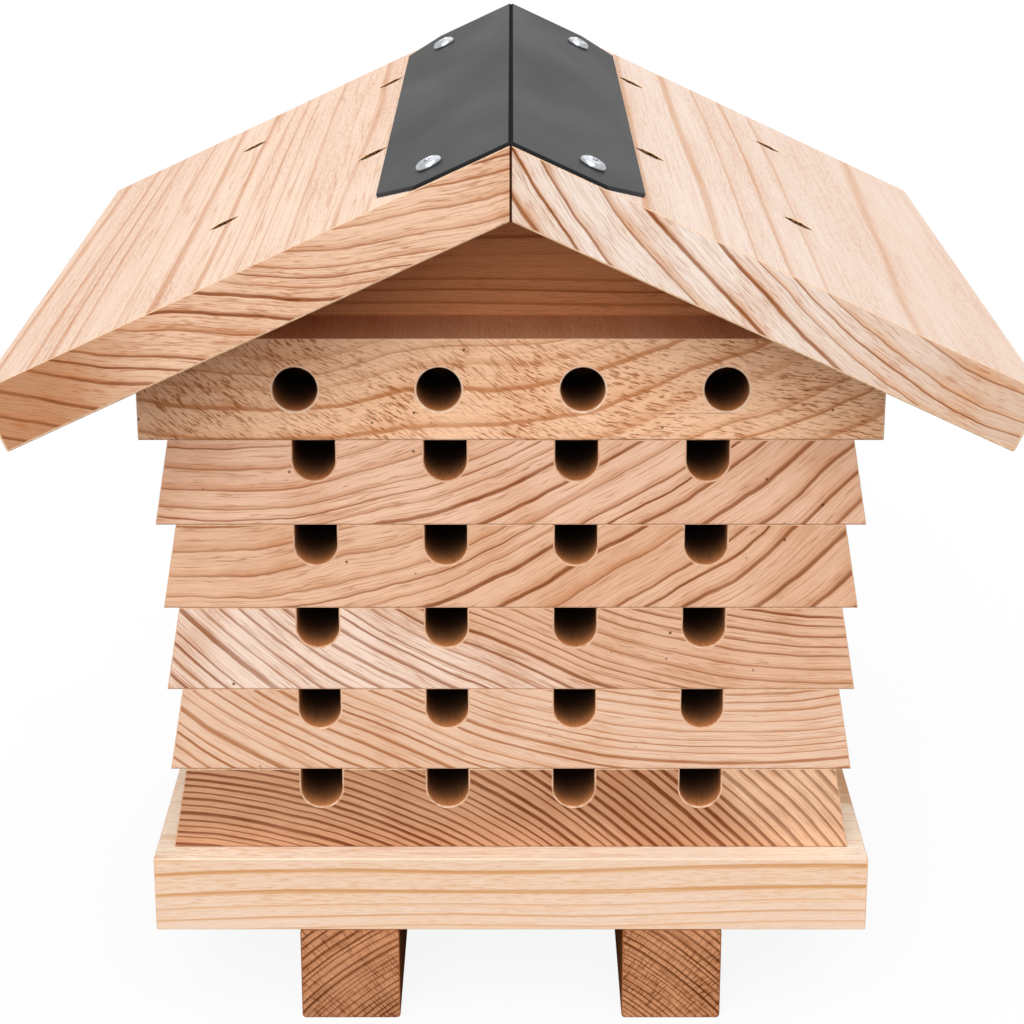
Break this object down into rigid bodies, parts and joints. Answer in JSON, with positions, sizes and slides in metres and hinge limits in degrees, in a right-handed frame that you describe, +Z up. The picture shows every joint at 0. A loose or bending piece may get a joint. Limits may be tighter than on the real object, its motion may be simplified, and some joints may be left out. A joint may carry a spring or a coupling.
{
  "type": "bee hotel",
  "caption": "Pine bee hotel: stacked trays with round-bottomed nesting channels on a footed base, under a drilled block and a pitched roof that lift off.",
  "frame": {"origin": "on the ground under the middle of the roof", "axes": "+X to the right seen from the front, +Y from the front to the back, +Z up"},
  "size_m": [0.2652, 0.25, 0.2594],
  "materials": {
    "base_pine": "planed pine, edge grain",
    "leg_pine": "sawn pine, end grain",
    "tray_pine": "sanded pine, end grain",
    "gable_pine": "planed pine",
    "roof_pine": "planed pine",
    "beech_pin": "turned hardwood",
    "cap_sheet": "dark grey sheet, satin",
    "zinc_screw": "bright zinc",
    "staple_wire": "drawn wire"
  },
  "bodies": {
    "base": {"base_board": "base_pine", "left_leg": "leg_pine", "right_leg": "leg_pine", "leg_screws": "zinc_screw", "base_pins": "beech_pin"},
    "tray_1": {"tray_1": "tray_pine", "tray_1_pins": "beech_pin"},
    "tray_2": {"tray_2": "tray_pine", "tray_2_pins": "beech_pin"},
    "tray_3": {"tray_3": "tray_pine", "tray_3_pins": "beech_pin"},
    "tray_4": {"tray_4": "tray_pine", "tray_4_pins": "beech_pin"},
    "tray_5": {"tray_5": "tray_pine", "tray_5_pins": "beech_pin"},
    "lid": {"top_block": "tray_pine", "front_gable": "gable_pine", "rear_gable": "gable_pine", "gable_screws": "zinc_screw", "ridge_cap": "cap_sheet", "left_roof_board": "roof_pine", "left_roof_staples": "staple_wire", "left_cap_screws": "zinc_screw", "right_roof_board": "roof_pine", "right_roof_staples": "staple_wire", "right_cap_screws": "zinc_screw"}
  },
  "joints": [
    {"name": "tray_1_lift", "type": "slide", "parent": "base", "child": "tray_1", "axis": [0, 0, 1], "range_m": [0, 0.03]},
    {"name": "tray_2_lift", "type": "slide", "parent": "tray_1", "child": "tray_2", "axis": [0, 0, 1], "range_m": [0, 0.03]},
    {"name": "tray_3_lift", "type": "slide", "parent": "tray_2", "child": "tray_3", "axis": [0, 0, 1], "range_m": [0, 0.03]},
    {"name": "tray_4_lift", "type": "slide", "parent": "tray_3", "child": "tray_4", "axis": [0, 0, 1], "range_m": [0, 0.03]},
    {"name": "tray_5_lift", "type": "slide", "parent": "tray_4", "child": "tray_5", "axis": [0, 0, 1], "range_m": [0, 0.03]},
    {"name": "lid_lift", "type": "slide", "parent": "tray_5", "child": "lid", "axis": [0, 0, 1], "range_m": [0, 0.05]}
  ]
}
